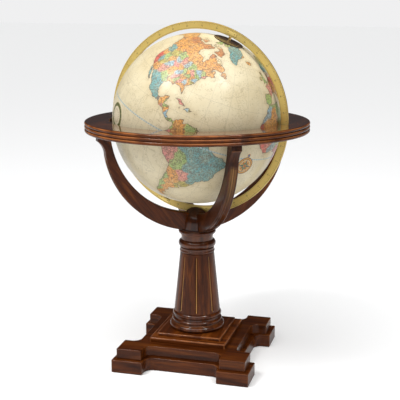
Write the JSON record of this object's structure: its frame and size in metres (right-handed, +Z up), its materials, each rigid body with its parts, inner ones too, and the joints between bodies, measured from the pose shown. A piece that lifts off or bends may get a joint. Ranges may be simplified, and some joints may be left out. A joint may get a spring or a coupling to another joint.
{
  "type": "pedestal globe",
  "caption": "Tilting and turning map ball in a full brass meridian, held by a four-armed wooden cradle with a horizon ring on a fluted column and stepped base.",
  "frame": {"origin": "on the floor under the column, on the axis of the column", "axes": "+Z up the column; the meridian ring lies in the XZ plane and the ball's north pole leans towards +X"},
  "size_m": [0.539, 0.539, 0.8305],
  "materials": {
    "polished_wood": "dark reddish-brown stain under gloss lacquer",
    "plain_wood": "bare hidden hardwood",
    "steel": "zinc-plated",
    "dark_steel": "blackened",
    "meridian_brass": "lacquered antique brass with engraved degrees",
    "felt": "wool felt",
    "liner": "dark felt liner",
    "printed_map": "antique political map under satin varnish",
    "bushing_plastic": "moulded",
    "dial": "dark brown hour dial with light numbers"
  },
  "bodies": {
    "stand": {"felt_pads": "felt", "base_lower_tier": "polished_wood", "base_upper_tier": "polished_wood", "plinth_step_lower": "polished_wood", "plinth_step_upper": "polished_wood", "base_screws": "steel", "column_foot": "polished_wood", "column_shaft": "polished_wood", "column_collar": "polished_wood", "cradle_hub": "polished_wood", "tie_rod": "steel", "tie_rod_washer": "steel", "tie_rod_nut": "steel", "rod_insert": "meridian_brass", "arm_front_right": "polished_wood", "arm_back_right": "polished_wood", "arm_back_left": "polished_wood", "arm_front_left": "polished_wood", "arm_hub_dowels": "plain_wood", "arm_top_dowels": "plain_wood", "horizon_right": "polished_wood", "horizon_back": "polished_wood", "horizon_left": "polished_wood", "horizon_front": "polished_wood", "horizon_splines": "plain_wood", "notch_liners": "liner", "saddle_liner": "liner"},
    "meridian": {"meridian_ring": "meridian_brass", "north_plate_front": "meridian_brass", "north_plate_back": "meridian_brass", "south_plate_front": "meridian_brass", "south_plate_back": "meridian_brass", "north_plate_screws": "dark_steel", "south_plate_screws": "dark_steel", "north_pole_pin": "meridian_brass", "south_pole_pin": "dark_steel"},
    "globe": {"globe_north_half": "printed_map", "globe_south_half": "printed_map", "equator_band": "bushing_plastic", "north_bushing": "bushing_plastic", "south_bushing": "bushing_plastic"},
    "hour_dial": {"hour_dial": "dial"}
  },
  "joints": [
    {"name": "meridian_tilt", "type": "hinge", "parent": "stand", "child": "meridian", "pos_m": [0, 0, 0.6], "axis": [0, 1, 0], "continuous": true},
    {"name": "globe_spin", "type": "hinge", "parent": "meridian", "child": "globe", "pos_m": [0, 0, 0.6], "axis": [0.3987, 0, 0.9171], "continuous": true},
    {"name": "dial_turn", "type": "hinge", "parent": "globe", "child": "hour_dial", "pos_m": [0, 0, 0.6], "axis": [0.3987, 0, 0.9171], "continuous": true}
  ]
}
